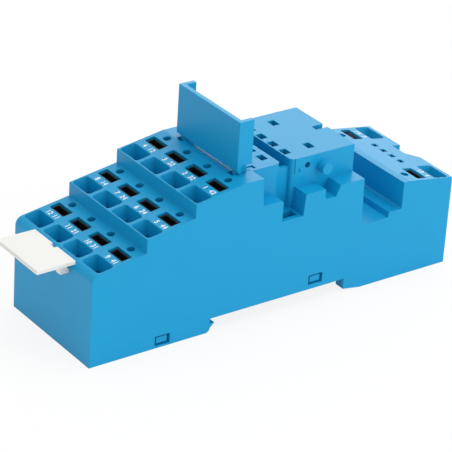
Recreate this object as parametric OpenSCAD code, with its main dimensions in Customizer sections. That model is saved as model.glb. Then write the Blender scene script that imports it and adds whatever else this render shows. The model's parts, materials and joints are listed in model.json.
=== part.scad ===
// Relay socket for a 35 mm mounting rail. Twelve contact terminals stand on three
// stepped decks and two coil terminals stand behind the module channel. Each has a
// wire port, a release button and a probe hole over a clamp spring and a contact strip.
// The origin is the middle of the rail seat, in the plane of the rail's front face.
// +X runs from the contact terminals to the coil terminals, and +Z away from the rail.
// Inside the modules, x starts at the contact end and z at the bottom of the feet.

/* [Body] */
// Width of the housing
body_w = 31; // [30.6:0.1:33]
// Thickness of the long side walls
side_wall = 1; // [0.9:0.05:1.2]
// Thickness of the two end walls
end_wall = 1.4; // [1.2:0.1:1.8]
// Rounding of the top edge at the contact end
front_round = 2; // [0.5:0.1:2.4]
// Thickness of the walls between the lanes of terminals
lane_web = 2.2; // [1.8:0.05:2.4]

/* [Rail] */
// Width of the mounting rail
rail_w = 35; // [34.8:0.1:35.2]
// Thickness of the rail's lip
rail_t = 1; // [0.9:0.05:1.1]
// Play between the rail and the fixed hook
rail_play = 0.3; // [0.1:0.05:0.5]
// Height of the feet below the rail seat
foot_h = 3.4; // [3.2:0.1:4]
// Reach of the hook and of the latch under the rail's lip
rail_grip = 1; // [0.8:0.05:1.3]
// Gap between the rail and the latch-side foot
latch_gap = 1.8; // [1.4:0.1:2.4]
// Length of the lead-in under the latch-side foot
lead_l = 4.9; // [3:0.1:6]
// Height of the lead-in under the latch-side foot
lead_h = 0.8; // [0.4:0.1:1.2]
// Height of the seat pad over the cover round it
pad_h = 0.2; // [0.1:0.05:0.3]

/* [Terminal decks] */
// Slope of the decks
deck_tilt = 9; // [7:0.5:10]
// Height of the riser between two decks
riser_h = 3.3; // [3:0.1:3.8]
// Distance from a riser to the middle of the ports on its deck
port_setback = 2.35; // [2.2:0.05:2.6]
// Length of the flat for the number, from a port to its button
label_l = 2.7; // [2.6:0.05:3]
// Distance from a button to its probe hole
probe_gap = 0.85; // [0.7:0.05:1]
// Distance from a probe hole to the next riser
riser_gap = 0.45; // [0.3:0.05:0.8]
// Length of the level part that the clip stands on
clip_seat_l = 5.75; // [5.6:0.05:6.4]

/* [Terminal] */
// Length of a wire port
port_l = 3.6; // [3.2:0.1:3.8]
// Width of the web between two wire ports
port_web = 1.2; // [1:0.05:1.4]
// Height of the rib between the two wires of a port
port_rib = 0.4; // [0.2:0.05:0.6]
// Depth of the funnel in a wire port
funnel_h = 3.2; // [2.5:0.1:3.8]
// Length of the throat under the funnel
throat_l = 2.4; // [2:0.1:2.8]
// Narrowing of the funnel at each end of the port
funnel_side = 0.9; // [0.6:0.05:1.2]
// Thickness of the deck over the clamp chambers
deck_t = 5; // [4.6:0.1:5.4]
// Length of a release button
button_l = 2; // [1.8:0.05:2.2]
// Travel of a release button
button_travel = 1.2; // [0.8:0.1:1.4]
// Bevel round the opening of a release button
button_bevel = 0.2; // [0.1:0.05:0.3]
// Diameter of a probe hole
probe_d = 1.9; // [1.6:0.05:2]

/* [Relay seat] */
// Height of the relay seat
seat_h = 34.7; // [34.4:0.1:35.4]
// Width of the relay seat
seat_w = 22; // [21.6:0.1:22.6]
// Distance from one relay pin to the next across the seat
pin_pitch = 4.4; // [4.3:0.05:4.5]
// Length of a pin slot
slot_l = 1.8; // [1.6:0.05:1.9]
// Width of a pin slot
slot_w = 2.5; // [2.4:0.05:2.7]
// Distance from the seat's end to the coil pins
coil_pin_at = 9.7; // [9.5:0.05:9.9]
// Distance from the coil pins to the common contact pins
common_step = 6.6; // [6.5:0.05:6.7]
// Distance from the common contact pins to the make contact pins
make_step = 6.3; // [6.2:0.05:6.4]
// Distance from the make contact pins to the break contact pins
break_step = 4.2; // [4.1:0.05:4.3]
// Distance from the break contact pins to the seat's other end
seat_margin = 1.2; // [1.1:0.05:1.4]
// Width of the trench across the seat
trench_l = 2.9; // [2.6:0.05:3]
// Depth of the trench
trench_h = 5.2; // [4.5:0.1:6]
// Wall between the trench and the common contact pins
trench_wall = 0.35; // [0.3:0.05:0.5]
// Depth of the low wall at each end of the trench
trench_end_drop = 2; // [1.5:0.1:2.5]
// Rounding of the seat's corners at the trench
trench_round = 1.2; // [0.6:0.1:1.5]
// Diameter of the boss on each side of the seat
boss_d = 2.8; // [2.4:0.1:3.2]
// Length of the boss
boss_l = 2.2; // [1.6:0.1:3]
// Distance from the seat's end to the boss
boss_at = 8.9; // [8.5:0.1:9.2]

/* [Ledges] */
// Depth of the ledges below the seat
ledge_drop = 6.7; // [6:0.1:7.4]
// Distance from the ledge's start to its pocket
pocket_at = 5.5; // [5.2:0.1:5.8]
// Length of the pocket
pocket_l = 5.8; // [5.4:0.1:6]
// Depth of the pocket
pocket_h = 5.2; // [4.6:0.1:6]
// Distance from the pocket to the notch
notch_gap = 5.8; // [5.4:0.1:6]
// Length of the notch
notch_l = 3.1; // [2.8:0.1:3.4]
// Depth of the notch
notch_h = 2.6; // [2:0.1:3]

/* [Module channel and coil block] */
// Length of the module channel
channel_l = 11.8; // [11.4:0.1:12.4]
// Height of the channel's low floor
channel_floor = 16.2; // [15.8:0.1:17]
// Height of the step in the channel's floor
channel_step = 1.3; // [1:0.1:1.6]
// Length of the low floor
channel_low_l = 7.9; // [7.5:0.1:8.4]
// Length of the coil block
coil_l = 14.5; // [14.3:0.1:15]
// Height of the coil block at its end
coil_h = 22.1; // [21.8:0.1:23]
// Length of the level strip beside the channel
coil_strip_l = 1.7; // [1.2:0.1:1.8]
// Distance from the coil end to the coil terminals' ports
coil_port_at = 2.95; // [2.8:0.05:3.1]

/* [Retaining clip] */
// Distance from the clip's front to the ledges
clip_at = 4.9; // [4.8:0.05:5]
// Width of the clip's plate
clip_w = 23.2; // [22.6:0.1:24]
// Height of the clip above the seat
clip_h = 12.7; // [10:0.1:16]
// Depth of the clip's side flanges
clip_depth = 3.9; // [3.4:0.1:4.1]
// Thickness of the clip's walls
clip_t = 1.2; // [1:0.05:1.3]
// Diameter of the clip's pivot pins
pivot_d = 2; // [1.8:0.05:2.2]
// Depth of the pivot below the seat
pivot_down = 2.8; // [2.7:0.05:2.9]

/* [Marker tag] */
// Width of the marker tag
tag_w = 16.5; // [14:0.1:18]
// Length of the marker tag
tag_l = 9.6; // [8:0.1:11]
// Thickness of the marker tag
tag_t = 0.95; // [0.8:0.05:1.2]
// Height of the marker tag over the deck's edge
tag_up = 0.5; // [0.3:0.05:0.8]
// Distance from the middle to the tag's arms
tag_arm_y = 4.9; // [4:0.1:6]
// Width of the tag's arms
tag_arm_w = 1.6; // [1.2:0.1:2]
// Length of the tag's arms in front of the housing
tag_arm_l = 3; // [2.4:0.1:3.6]
// Length of the tag's tongues in the housing
tag_tongue_l = 1.2; // [1:0.1:1.2]

/* [Rail latch] */
// Width of the latch
latch_w = 12.6; // [10:0.1:13]
// Thickness of the latch
latch_t = 1.6; // [1.4:0.05:1.7]
// Travel of the latch
latch_travel = 2.5; // [2:0.1:2.8]
// Distance from the foot to the latch's window
latch_neck_l = 7.6; // [6:0.1:8]
// Length of the return spring
spring_l = 9.8; // [8:0.1:10]
// Outer diameter of the latch's return spring
spring_d = 2.2; // [1.8:0.1:2.4]
// Diameter of the spring's wire
spring_wire = 0.35; // [0.25:0.05:0.4]

/* [Metal parts] */
// Thickness of the contact strips and clamp springs
strip_t = 0.4; // [0.3:0.05:0.45]
// Bend radius of the clamp springs
clamp_loop_r = 1.7; // [1.4:0.05:1.8]
// Height of the lowest contact strip above the feet
run_h = 6.2; // [6:0.1:6.6]
// Height from one row's strip to the next row's
run_step = 2.4; // [2:0.1:2.8]

/* [Fits] */
// Gap round sliding parts
slide_gap = 0.1; // [0.05:0.01:0.15]
// Gap between a fixed part and its seat
seat_gap = 0.15; // [0.1:0.01:0.25]
// Gap between the contact strips and the walls beside them
strip_gap = 0.3; // [0.2:0.05:0.4]
// Running gap round a pivot pin, on the radius
pivot_gap = 0.05; // [0.03:0.01:0.1]

/* [Hidden] */
eps = 0.01;
cut = 1;
rise = tan(deck_tilt);
terminals = 14;
contacts = 12;
columns = 4;

// Lanes and terminals across the housing
inner_w = body_w - 2 * side_wall;
col_pitch = (inner_w + lane_web) / columns;
lane_w = col_pitch - lane_web;
lane_wall_t = 0.8;
port_w = col_pitch - port_web;
throat_w = port_w - 2 * funnel_side;
strip_w = lane_w - 2 * strip_gap;
button_w = strip_w;
clamp_w = strip_w - 2 * strip_gap;

// Terminals along their deck, from the middle of the wire port
button_at = port_l / 2 + label_l + button_l / 2 + slide_gap;
probe_at = button_at + button_l / 2 + slide_gap + probe_gap + probe_d / 2;
row_pitch = probe_at + probe_d / 2 + riser_gap + port_setback;

// Places along the housing, from the contact end
rows = contacts / columns;
first_port = end_wall + port_setback;
clip_seat_x = end_wall + rows * row_pitch;
ledge_x = clip_seat_x + clip_seat_l;
common_pin_at = coil_pin_at + common_step;
make_pin_at = common_pin_at + make_step;
break_pin_at = make_pin_at + break_step;
seat_l = break_pin_at + seat_margin;
seat_x = ledge_x + seat_l;
coil_x = seat_x + channel_l;
body_l = coil_x + coil_l;
hook_x = body_l / 2 - rail_w / 2 - rail_play;
foot_x = body_l / 2 + rail_w / 2 + latch_gap;
step_x = seat_x + channel_low_l + 0.3;
trench_x = seat_x - common_pin_at - slot_l / 2 - trench_wall - trench_l / 2;
pocket_x = ledge_x + pocket_at;
notch_x = pocket_x + pocket_l + notch_gap;

// Heights above the bottom of the feet
grip_z = foot_h - rail_t - slide_gap;
deck_h = seat_h - (rows - 1) * riser_h - clip_seat_x * rise;
ledge_h = seat_h - ledge_drop;
high_floor = channel_floor + channel_step;
strip_z = coil_h + (coil_l - coil_strip_l) * rise;
cover_t = 1.6;
plate_top = foot_h + cover_t;
low_floor = cover_t + 0.2;
lane_floor = plate_top + 0.2;

// Hall under the relay seat and cells of the contact forks
lane_step_x = hook_x - 2;
hall_h = 14.5;
hall_x0 = wall_x(rows + 1) - 0.1;
hall_x1 = seat_x - 1;
coil_lane_h = 9;
cell_l = slot_l + 0.1;
cell_w = slot_w + 0.5;
mouth_h = 1.3;
pin_at = [coil_pin_at, common_pin_at, make_pin_at, break_pin_at];

// Clamp and button, in depth below the deck
button_top = 0.35;
flange_l = button_l + 1.2;
flange_top = deck_t + 0.25;
flange_t = 0.9;
nose_bottom = flange_top + flange_t + 0.9;
clamp_top = nose_bottom + 0.25;
clamp_loop_at = button_at + 0.4;
clamp_mid = clamp_top + strip_t / 2 + clamp_loop_r;
clamp_floor = clamp_mid + clamp_loop_r;
cage_floor = clamp_floor + strip_t + 0.05;
cage_bar = throat_l / 2 + 0.5;
cage_end = (row_pitch - port_setback - strip_t - cage_floor * sin(deck_tilt)) / cos(deck_tilt);

// Fork of a contact strip
fork_w = slot_w - 0.1;
fork_r = cell_l / 2 - 0.35;
fork_top = seat_h - mouth_h - 1.7;
fork_flare = 2.2;
fork_bow = 5;
fork_stem = 4;
jog_l = 4;

// Retaining clip
clip_x = ledge_x - clip_at;
pivot_x = clip_x + 0.8;
pivot_z = seat_h - pivot_down;
clip_foot = seat_h + 0.3;
flange_foot = seat_h + 2.2;
flange_y = clip_w / 2 - clip_t;
leg_w = 1.5;
leg_y = flange_y - leg_w;
leg_r = pivot_d / 2 + 0.2;
leg_pin_l = 1.8;
toe_l = 5.1;
toe_w = leg_w - 0.4;

// Marker tag
tag_top = deck_h + tag_up;
tag_inner = 0.55;
tag_notch_l = 0.8;
tag_notch_w = 1.8;
tag_arm_z = tag_top - 3.6;
tag_tongue_t = 1;

// Rail latch and its spring
latch_z = grip_z - latch_t;
latch_x0 = body_l / 2 + rail_w / 2 - rail_grip;
latch_x1 = body_l - 0.3;
rib_y = latch_w / 2 + 0.2;
rib_t = 1.5;
lip_w = 1.1;
lip_gap = 0.2;
window_x0 = foot_x + latch_neck_l;
window_w = spring_d + 2;
post_x = window_x0 + spring_l;
post_l = 1.5;
window_x1 = post_x + post_l + lip_gap;
driver_slot_l = 1.3;
driver_slot_w = 4;
spring_turns = 7;
spring_sides = 6;
spring_steps = 10;

// Lugs of the base cover
lug_l = 2.8;
lug_h = 1.5;
lug_gap = 0.55;

function is_coil(k) = k > contacts;
function row(k) = is_coil(k) ? 0 : rows - floor((k - 1) / columns);
function term_y(k) = is_coil(k)
    ? (k - contacts - 1.5) * (columns - 1) * col_pitch
    : ((k - 1) % columns - 1.5) * col_pitch;
function port_x(r) = first_port + (r - 1) * row_pitch;
function riser_x(r) = port_x(r) - port_setback;
function deck_z(r, x) = deck_h + (r - 1) * riser_h + x * rise;
function term_x(k) = is_coil(k) ? body_l - coil_port_at : port_x(row(k));
function term_z(k) = is_coil(k) ? coil_h + coil_port_at * rise : deck_z(row(k), port_x(row(k)));
function side(k) = is_coil(k) ? -1 : 1;

// A point of terminal k in the housing's x and z, from u along the deck and w above it
function deck_point(k, u, w) = [
    term_x(k) + side(k) * (u * cos(deck_tilt) - w * sin(deck_tilt)),
    term_z(k) + u * sin(deck_tilt) + w * cos(deck_tilt)
];

// Left face of the wall in front of row r's chamber, and of the wall that ends the last one
function wall_x(r) = r == 1 ? end_wall - lane_wall_t : riser_x(r) + 0.1;
function roof_z(r, x) = deck_z(r, x) - deck_t / cos(deck_tilt);
function run_z(k) = run_h + max(0, row(k) - 1) * run_step;
function pin_x(k) = seat_x - pin_at[row(k)];
function pin_y(k) = is_coil(k)
    ? (k - contacts - 1.5) * (columns - 1) * pin_pitch
    : ((k - 1) % columns - 1.5) * pin_pitch;

// Outline of a strip of thickness t that follows points p, with mitred corners
function unit(v) = v / norm(v);
function turn_left(v) = [-v[1], v[0]];
function corner(p, i) =
    let (n = len(p) - 1,
         a = unit(i > 0 ? p[i] - p[i - 1] : p[1] - p[0]),
         b = unit(i < n ? p[i + 1] - p[i] : p[n] - p[n - 1]),
         m = unit(turn_left(a) + turn_left(b)))
    m / (m * turn_left(a));
function ribbon(p, t) = concat(
    [for (i = [0 : len(p) - 1]) p[i] + corner(p, i) * t / 2],
    [for (i = [len(p) - 1 : -1 : 0]) p[i] - corner(p, i) * t / 2]
);
function arc(c, r, a0, a1, n) = [
    for (i = [0 : n]) let (a = a0 + (a1 - a0) * i / n) c + r * [cos(a), sin(a)]
];

// Puts a child drawn from the contact end and the feet into the rail's frame
module on_rail() {
    translate([-body_l / 2, 0, -foot_h]) children();
}

// Extrudes a side view, drawn in x and z, across the housing from y0 to y1
module across(y0, y1) {
    translate([0, y1, 0]) rotate([90, 0, 0]) linear_extrude(y1 - y0) children();
}

// The same on both sides of the middle
module both_sides(y0, y1) {
    across(y0, y1) children();
    across(-y1, -y0) children();
}

module at_terminal(k) {
    translate([term_x(k), term_y(k), term_z(k)])
        if (is_coil(k)) mirror([1, 0, 0]) rotate([0, -deck_tilt, 0]) children();
        else rotate([0, -deck_tilt, 0]) children();
}

// A block whose top is l by w and whose foot, h lower, is l2 by w2
module tapered_block(l, w, l2, w2, h) {
    intersection() {
        across(-w, w)
            polygon([[-l2 / 2, -h], [l2 / 2, -h], [l / 2, 0], [l / 2, cut], [-l / 2, cut], [-l / 2, 0]]);
        rotate([0, 0, 90]) across(-l, l)
            polygon([[-w2 / 2, -h], [w2 / 2, -h], [w / 2, 0], [w / 2, cut], [-w / 2, cut], [-w / 2, 0]]);
    }
}

// Mouth of a wire port: a rectangle with cut corners and a rib in the middle of each long side
module port_mouth() {
    x = port_l / 2;
    y = port_w / 2;
    c = 0.45;
    r = port_rib;
    polygon([
        [-x + c, -y], [x - c, -y], [x, -y + c], [x, -r], [x - r, 0], [x, r], [x, y - c],
        [x - c, y], [-x + c, y], [-x, y - c], [-x, r], [-x + r, 0], [-x, -r], [-x, -y + c]
    ]);
}

module port_cut() {
    intersection() {
        tapered_block(port_l, port_w, throat_l, throat_w, funnel_h);
        translate([0, 0, -funnel_h - cut]) linear_extrude(funnel_h + 2 * cut) port_mouth();
    }
    translate([-throat_l / 2, -throat_w / 2, -deck_t - cut / 2])
        cube([throat_l, throat_w, deck_t - funnel_h + cut / 2 + eps]);
}

module button_cut() {
    l = button_l + 2 * slide_gap;
    w = button_w + 2 * slide_gap;
    translate([button_at, 0, 0]) {
        translate([-l / 2, -w / 2, -deck_t - cut / 2]) cube([l, w, deck_t + cut]);
        tapered_block(l + 2 * button_bevel, w + 2 * button_bevel, l, w, 2 * button_bevel);
    }
}

module probe_cut() {
    translate([probe_at, 0, -deck_t - cut / 2]) cylinder(d = probe_d, h = deck_t + cut, $fn = 32);
}

// Side view of the housing, with the hook's nose at the rail
function hook_nose() = [
    [hook_x - 0.7, 0], [hook_x - 0.1, 0.4], [hook_x + 0.2, 1.2],
    [hook_x + rail_play + rail_grip, grip_z - 0.15], [hook_x, grip_z], [hook_x, foot_h]
];

function foot_end() = [[foot_x, foot_h], [foot_x, lead_h], [foot_x + lead_l, 0]];

module body_outline() {
    polygon(concat(
        [[0, 0]],
        hook_nose(),
        foot_end(),
        [
            [body_l, 0], [body_l, coil_h], [coil_x + coil_strip_l, strip_z], [coil_x, strip_z],
            [coil_x, high_floor + 0.3], [coil_x - 0.3, high_floor], [step_x, high_floor],
            [step_x - 0.3, channel_floor], [seat_x + 1.1, channel_floor],
            [seat_x + 0.25, channel_floor + 1.7], [seat_x, ledge_h], [seat_x, seat_h], [clip_seat_x, seat_h]
        ],
        [for (r = [rows : -1 : 2]) each [[riser_x(r), deck_z(r, riser_x(r))], [riser_x(r), deck_z(r - 1, riser_x(r))]]],
        [[0, deck_h]]
    ));
}

// What a rounding takes off the top edge at the contact end
module front_round_cut() {
    angle = 90 + deck_tilt;
    reach = front_round / tan(angle / 2);
    difference() {
        translate([-cut, -body_w / 2 - cut, deck_h - reach])
            cube([cut + reach * cos(deck_tilt), body_w + 2 * cut, reach + cut]);
        translate([front_round, 0, deck_h - reach]) rotate([90, 0, 0])
            cylinder(r = front_round, h = body_w + 4 * cut, center = true, $fn = 96);
        across(-body_w / 2 - 2 * cut, body_w / 2 + 2 * cut)
            polygon([[reach * cos(deck_tilt), deck_h - reach - cut], [reach * cos(deck_tilt) + cut, deck_h - reach - cut],
                     [reach * cos(deck_tilt) + cut, deck_h + 2 * cut], [reach * cos(deck_tilt), deck_h + 2 * cut]]);
    }
}

// Ledges beside the relay seat, with the pockets that take a relay's holding spring
module ledge_cuts() {
    both_sides(seat_w / 2, body_w / 2 + cut) {
        polygon([[ledge_x, ledge_h], [seat_x + cut, ledge_h], [seat_x + cut, seat_h + cut],
                 [ledge_x - 0.3, seat_h + cut], [ledge_x - 0.3, seat_h - 0.1]]);
        polygon([[pocket_x, ledge_h - pocket_h], [pocket_x + pocket_l, ledge_h - pocket_h],
                 [pocket_x + pocket_l + 0.4, ledge_h + eps], [pocket_x - 0.4, ledge_h + eps],
                 [pocket_x, ledge_h - 0.5]]);
        polygon([[notch_x + 0.5, ledge_h - notch_h], [notch_x + notch_l, ledge_h - notch_h],
                 [notch_x + notch_l + 1.1, ledge_h + eps], [notch_x, ledge_h + eps],
                 [notch_x, ledge_h - notch_h + 0.6]]);
    }
    // Blind slot in the floor of each pocket
    both_sides(seat_w / 2 + 0.9, body_w / 2 - side_wall - 0.2)
        polygon([[pocket_x + 0.9, ledge_h - pocket_h - 2.8], [pocket_x + pocket_l - 0.8, ledge_h - pocket_h - 2.8],
                 [pocket_x + pocket_l - 0.8, ledge_h - pocket_h + eps], [pocket_x + 0.9, ledge_h - pocket_h + eps]]);
}

// Trench across the seat, closed at each end by a lower wall that is set back between rounded corners
module trench_cut() {
    wall_y = seat_w / 2 - trench_round;
    floor_z = ledge_h - pocket_h;
    translate([trench_x - trench_l / 2, -wall_y + 1, seat_h - trench_h])
        cube([trench_l, 2 * wall_y - 2, trench_h + cut]);
    translate([trench_x - trench_l / 2, -wall_y - eps, seat_h - trench_end_drop])
        cube([trench_l, 2 * wall_y + 2 * eps, trench_end_drop + cut]);
    for (t = [-1, 1]) scale_y(t) translate([trench_x, wall_y, floor_z]) {
        translate([-trench_l / 2, 0, 0]) cube([trench_l, trench_round + eps, seat_h - floor_z + cut]);
        for (s = [-1, 1]) translate([s * (trench_l / 2 + trench_round), 0, 0]) difference() {
            translate([s > 0 ? -trench_round - eps : 0, 0, 0])
                cube([trench_round + eps, trench_round + eps, seat_h - floor_z + cut]);
            translate([0, 0, -cut]) cylinder(r = trench_round, h = seat_h - floor_z + 3 * cut, $fn = 48);
        }
    }
}

module seat_cuts() {
    for (k = [1 : terminals]) translate([pin_x(k), pin_y(k), 0]) {
        translate([-slot_l / 2, -slot_w / 2, seat_h - mouth_h - eps]) cube([slot_l, slot_w, mouth_h + cut]);
        translate([-cell_l / 2, -cell_w / 2, hall_h - eps]) cube([cell_l, cell_w, seat_h - mouth_h - hall_h + eps]);
    }
    // Key notch in the middle of the seat's end
    translate([seat_x - 3.2, -0.9, seat_h - 3]) cube([3.2 + cut, 1.8, 3 + cut]);
    // Slots that the clip's legs and toes swing in
    for (s = [-1, 1]) scale_y(s) {
        translate([pivot_x - leg_r - 0.3, leg_y - 0.2, pivot_z - leg_r - 0.2])
            cube([ledge_x - 0.5 - pivot_x + leg_r + 0.3, leg_w + 0.4, pivot_down + leg_r + 0.2 + cut]);
        translate([pivot_x, leg_y - 0.2, seat_h - 2.1]) cube([toe_l + 0.3, toe_w + 0.4, 2.1 + cut]);
        translate([pivot_x, leg_y + leg_w, pivot_z]) rotate([-90, 0, 0])
            cylinder(d = pivot_d + 2 * pivot_gap, h = leg_pin_l + 0.2, $fn = 32);
        // Detent hole for a relay's holding spring, and the seam beside it
        translate([seat_x - 13, seat_w / 2 - 1.5, seat_h - 2.2]) rotate([-90, 0, 0])
            cylinder(d = 1.4, h = 1.5 + cut, $fn = 24);
        translate([seat_x - common_pin_at - 0.3, seat_w / 2 - 0.25, seat_h - 3.7]) cube([0.2, 1, 3.7 + cut]);
    }
}

// Mirrors a child to the other side of the middle when s is negative
module scale_y(s) {
    if (s < 0) mirror([0, 1, 0]) children();
    else children();
}

// Bosses and nubs that carry a relay's holding spring
module seat_bosses() {
    for (s = [-1, 1]) scale_y(s) {
        translate([seat_x - boss_at, seat_w / 2 - 0.5, (seat_h + ledge_h) / 2 + 0.15]) rotate([-90, 0, 0])
            cylinder(d = boss_d, h = boss_l + 0.5, $fn = 48);
        translate([seat_x - 15, seat_w / 2, seat_h - 2.85]) sphere(d = 0.9, $fn = 16);
    }
}

// Notch in the end edge of the coil block: upright on one side and sloping out on the other
module end_notch_cut() {
    depth = 1.8;
    length = 2.4;
    translate([body_l - length, 0, 0]) rotate([90, 0, 90]) linear_extrude(length + cut)
        polygon([[3.7, coil_h - depth], [3.7, coil_h + cut], [-3.8 - cut, coil_h + cut], [-3.8, coil_h]]);
    // Four blind slots for a jumper
    for (i = [-1.5 : 1 : 1.5])
        translate([body_l - 6.9 - 0.7, i * 3.2 - 0.8, coil_h - 2.5]) cube([1.4, 1.6, 5]);
}

module inner_cuts() {
    // Four lanes of three chambers, whose walls end above the strips that pass below
    for (c = [0 : columns - 1]) {
        y = (c - 1.5) * col_pitch;
        across(y - lane_w / 2, y + lane_w / 2) polygon(concat(
            [[end_wall, low_floor]],
            [for (r = [1 : rows]) each [
                [wall_x(r) + lane_wall_t, r == 1 ? low_floor : wall_foot(r)],
                [wall_x(r) + lane_wall_t, roof_z(r, wall_x(r) + lane_wall_t)],
                [wall_x(r + 1), roof_z(r, wall_x(r + 1))],
                [wall_x(r + 1), r == rows ? lane_floor : wall_foot(r + 1)]
            ]],
            [[lane_step_x, lane_floor], [lane_step_x, low_floor]]
        ));
    }
    // Hall under the relay seat
    translate([hall_x0, -inner_w / 2, plate_top]) cube([hall_x1 - hall_x0, inner_w, hall_h - plate_top]);
    // Lanes and chambers of the coil terminals
    for (k = [contacts + 1 : terminals]) {
        across(term_y(k) - lane_w / 2, term_y(k) + lane_w / 2)
            polygon([
                [hall_x1 - eps, plate_top], [hall_x1 - eps, coil_lane_h], [coil_x + lane_wall_t, coil_lane_h],
                [coil_x + lane_wall_t, coil_roof_z(coil_x + lane_wall_t)],
                [body_l - end_wall, coil_roof_z(body_l - end_wall)], [body_l - end_wall, plate_top]
            ]);
    }
    // Opening for the base cover, and for the latch in the end wall
    across(-inner_w / 2, inner_w / 2)
        polygon([
            [end_wall, -cut], [end_wall, low_floor], [lane_step_x, low_floor], [lane_step_x, lane_floor],
            [body_l - end_wall, lane_floor], [body_l - end_wall, -cut]
        ]);
    translate([body_l - end_wall - cut, -latch_w / 2 - 0.3, -cut])
        cube([end_wall + 2 * cut, latch_w + 0.6, foot_h - 0.5 + cut]);
}

function coil_roof_z(x) = coil_h + (body_l - x) * rise - deck_t / cos(deck_tilt);
function wall_foot(r) = run_h + (r - 2) * run_step + strip_t / 2 + 0.6;

// Middles of the base cover's lugs along the housing, with the bottoms of their windows
function lugs() = [[hook_x - 12.5, 0.5], [foot_x - 8.3, foot_h + 1.1]];

module lug_windows() {
    for (p = lugs(), s = [-1, 1]) scale_y(s)
        translate([p[0] - lug_l / 2 - lug_gap, inner_w / 2 - cut, p[1]])
            cube([lug_l + 2 * lug_gap, side_wall + 2 * cut, lug_h + 0.9]);
}

module tag_slots() {
    for (s = [-1, 1]) scale_y(s)
        translate([-cut, tag_arm_y - slide_gap, tag_arm_z - slide_gap])
            cube([cut + tag_tongue_l + slide_gap, tag_arm_w + 2 * slide_gap, tag_tongue_t + 2 * slide_gap]);
}

module housing() {
    color([0.29, 0.62, 0.84]) on_rail() difference() {
        union() {
            difference() {
                across(-body_w / 2, body_w / 2) body_outline();
                ledge_cuts();
            }
            seat_bosses();
        }
        front_round_cut();
        trench_cut();
        seat_cuts();
        end_notch_cut();
        inner_cuts();
        lug_windows();
        tag_slots();
        for (k = [1 : terminals]) at_terminal(k) {
            port_cut();
            button_cut();
            probe_cut();
        }
    }
}

module base_cover() {
    w = inner_w / 2 - seat_gap;
    x0 = end_wall + seat_gap;
    x1 = body_l - end_wall - seat_gap;
    under = foot_h + pad_h;
    pad_x0 = hook_x + rail_play + rail_grip + slide_gap;
    pad_x1 = latch_x0 - slide_gap;
    color([0.24, 0.55, 0.78]) on_rail() {
        // Foot plate, hook and upper plate, with the pad that rests on the rail
        across(-w, w) polygon(concat(
            [[x0, 0]], hook_nose(),
            [
                [hook_x, under], [pad_x0, under], [pad_x0, foot_h], [pad_x1, foot_h], [pad_x1, under],
                [x1, under], [x1, plate_top], [lane_step_x + 0.2, plate_top], [lane_step_x + 0.2, cover_t],
                [x0, cover_t]
            ]
        ));
        // Ribs that stand on the foot and guide the latch
        for (y = [rib_y, w - rib_t]) both_sides(y, y + rib_t)
            polygon(concat([[foot_x, under + eps]], foot_end(), [[x1, 0], [x1, under + eps]]));
        // Lips under the latch, and the ribs that bear on its top
        both_sides(rib_y - lip_w, rib_y + eps) {
            polygon([[foot_x + lead_l, 0], [x1, 0], [x1, latch_z - lip_gap], [foot_x + lead_l, latch_z - lip_gap]]);
            polygon([[foot_x, grip_z + slide_gap], [x1, grip_z + slide_gap], [x1, under + eps], [foot_x, under + eps]]);
        }
        // Post that carries the return spring
        translate([post_x, -window_w / 2 + 0.4, latch_z]) cube([post_l, window_w - 0.8, under + eps - latch_z]);
        // Lugs that snap into the side windows, on springy tongues
        for (p = lugs(), s = [-1, 1]) scale_y(s) {
            foot = p[1] < foot_h ? cover_t : plate_top;
            lug_z = p[1] + lug_gap - slide_gap;
            translate([p[0] - lug_l / 2 - 0.3, w - 1, foot - eps])
                cube([lug_l + 0.6, 1, lug_z + lug_h + 0.15 - foot + eps]);
            translate([p[0] - lug_l / 2, w - eps, lug_z]) cube([lug_l, side_wall + seat_gap - 0.3, lug_h]);
        }
    }
}

module retaining_clip() {
    top = seat_h + clip_h;
    color([0.27, 0.6, 0.83]) on_rail() {
        across(-clip_w / 2, clip_w / 2)
            polygon([
                [clip_x + clip_t, clip_foot], [clip_x + clip_t, top], [clip_x, top],
                [clip_x, clip_foot + 0.7], [clip_x + 0.7, clip_foot]
            ]);
        both_sides(flange_y, clip_w / 2)
            polygon([
                [clip_x + clip_t - eps, flange_foot], [clip_x + clip_depth, flange_foot],
                [clip_x + clip_depth, top], [clip_x + clip_t - eps, top]
            ]);
        both_sides(leg_y, flange_y + eps)
            polygon([
                [pivot_x - leg_r, pivot_z], [clip_x + 0.7, clip_foot], [clip_x + clip_t - eps, flange_foot + 1.5],
                [clip_x + clip_depth - 0.4, flange_foot + 1.5], [clip_x + clip_depth - 0.4, clip_foot],
                [pivot_x + leg_r, pivot_z]
            ]);
        // Toes that lift the relay when the clip is pulled back
        both_sides(leg_y, leg_y + toe_w)
            polygon([
                [pivot_x, pivot_z], [pivot_x + leg_r, pivot_z], [pivot_x + toe_l, seat_h - 1.1],
                [pivot_x + toe_l, seat_h - 0.2], [pivot_x, seat_h - 0.2]
            ]);
        for (s = [-1, 1]) scale_y(s) translate([pivot_x, 0, pivot_z]) rotate([-90, 0, 0]) {
            translate([0, 0, leg_y]) cylinder(r = leg_r, h = leg_w, $fn = 48);
            translate([0, 0, leg_y + eps]) cylinder(d = pivot_d, h = leg_w + leg_pin_l, $fn = 32);
        }
    }
}

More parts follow.
